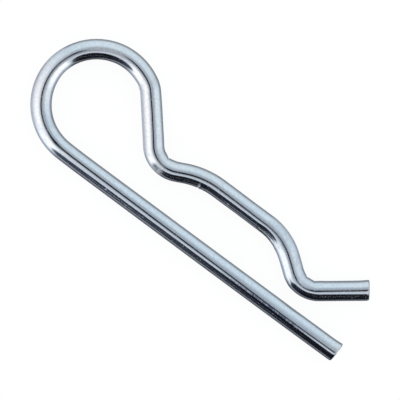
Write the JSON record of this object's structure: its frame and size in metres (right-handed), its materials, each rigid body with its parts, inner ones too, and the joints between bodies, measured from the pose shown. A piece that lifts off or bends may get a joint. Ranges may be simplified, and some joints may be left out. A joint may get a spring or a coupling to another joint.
{
  "type": "hairpin cotter pin",
  "caption": "Hairpin cotter bent from one round wire: a straight leg for a shaft's cross hole, a spring loop, and a bowed arm with a flared tip that grips the shaft.",
  "frame": {"origin": "on the axis of the straight leg, where the axis of the gripped shaft crosses it, in the middle of the seat", "axes": "+X along the leg towards its free end, +Y from the leg towards the bowed arm, +Z square to the flat plane of the wire, which lies level"},
  "size_m": [0.0746, 0.0244, 0.0038],
  "materials": {
    "zinc_wire": "bright zinc plate with a faint blue tint on drawn spring wire"
  },
  "bodies": {
    "root": {"hairpin": "zinc_wire"}
  },
  "joints": []
}
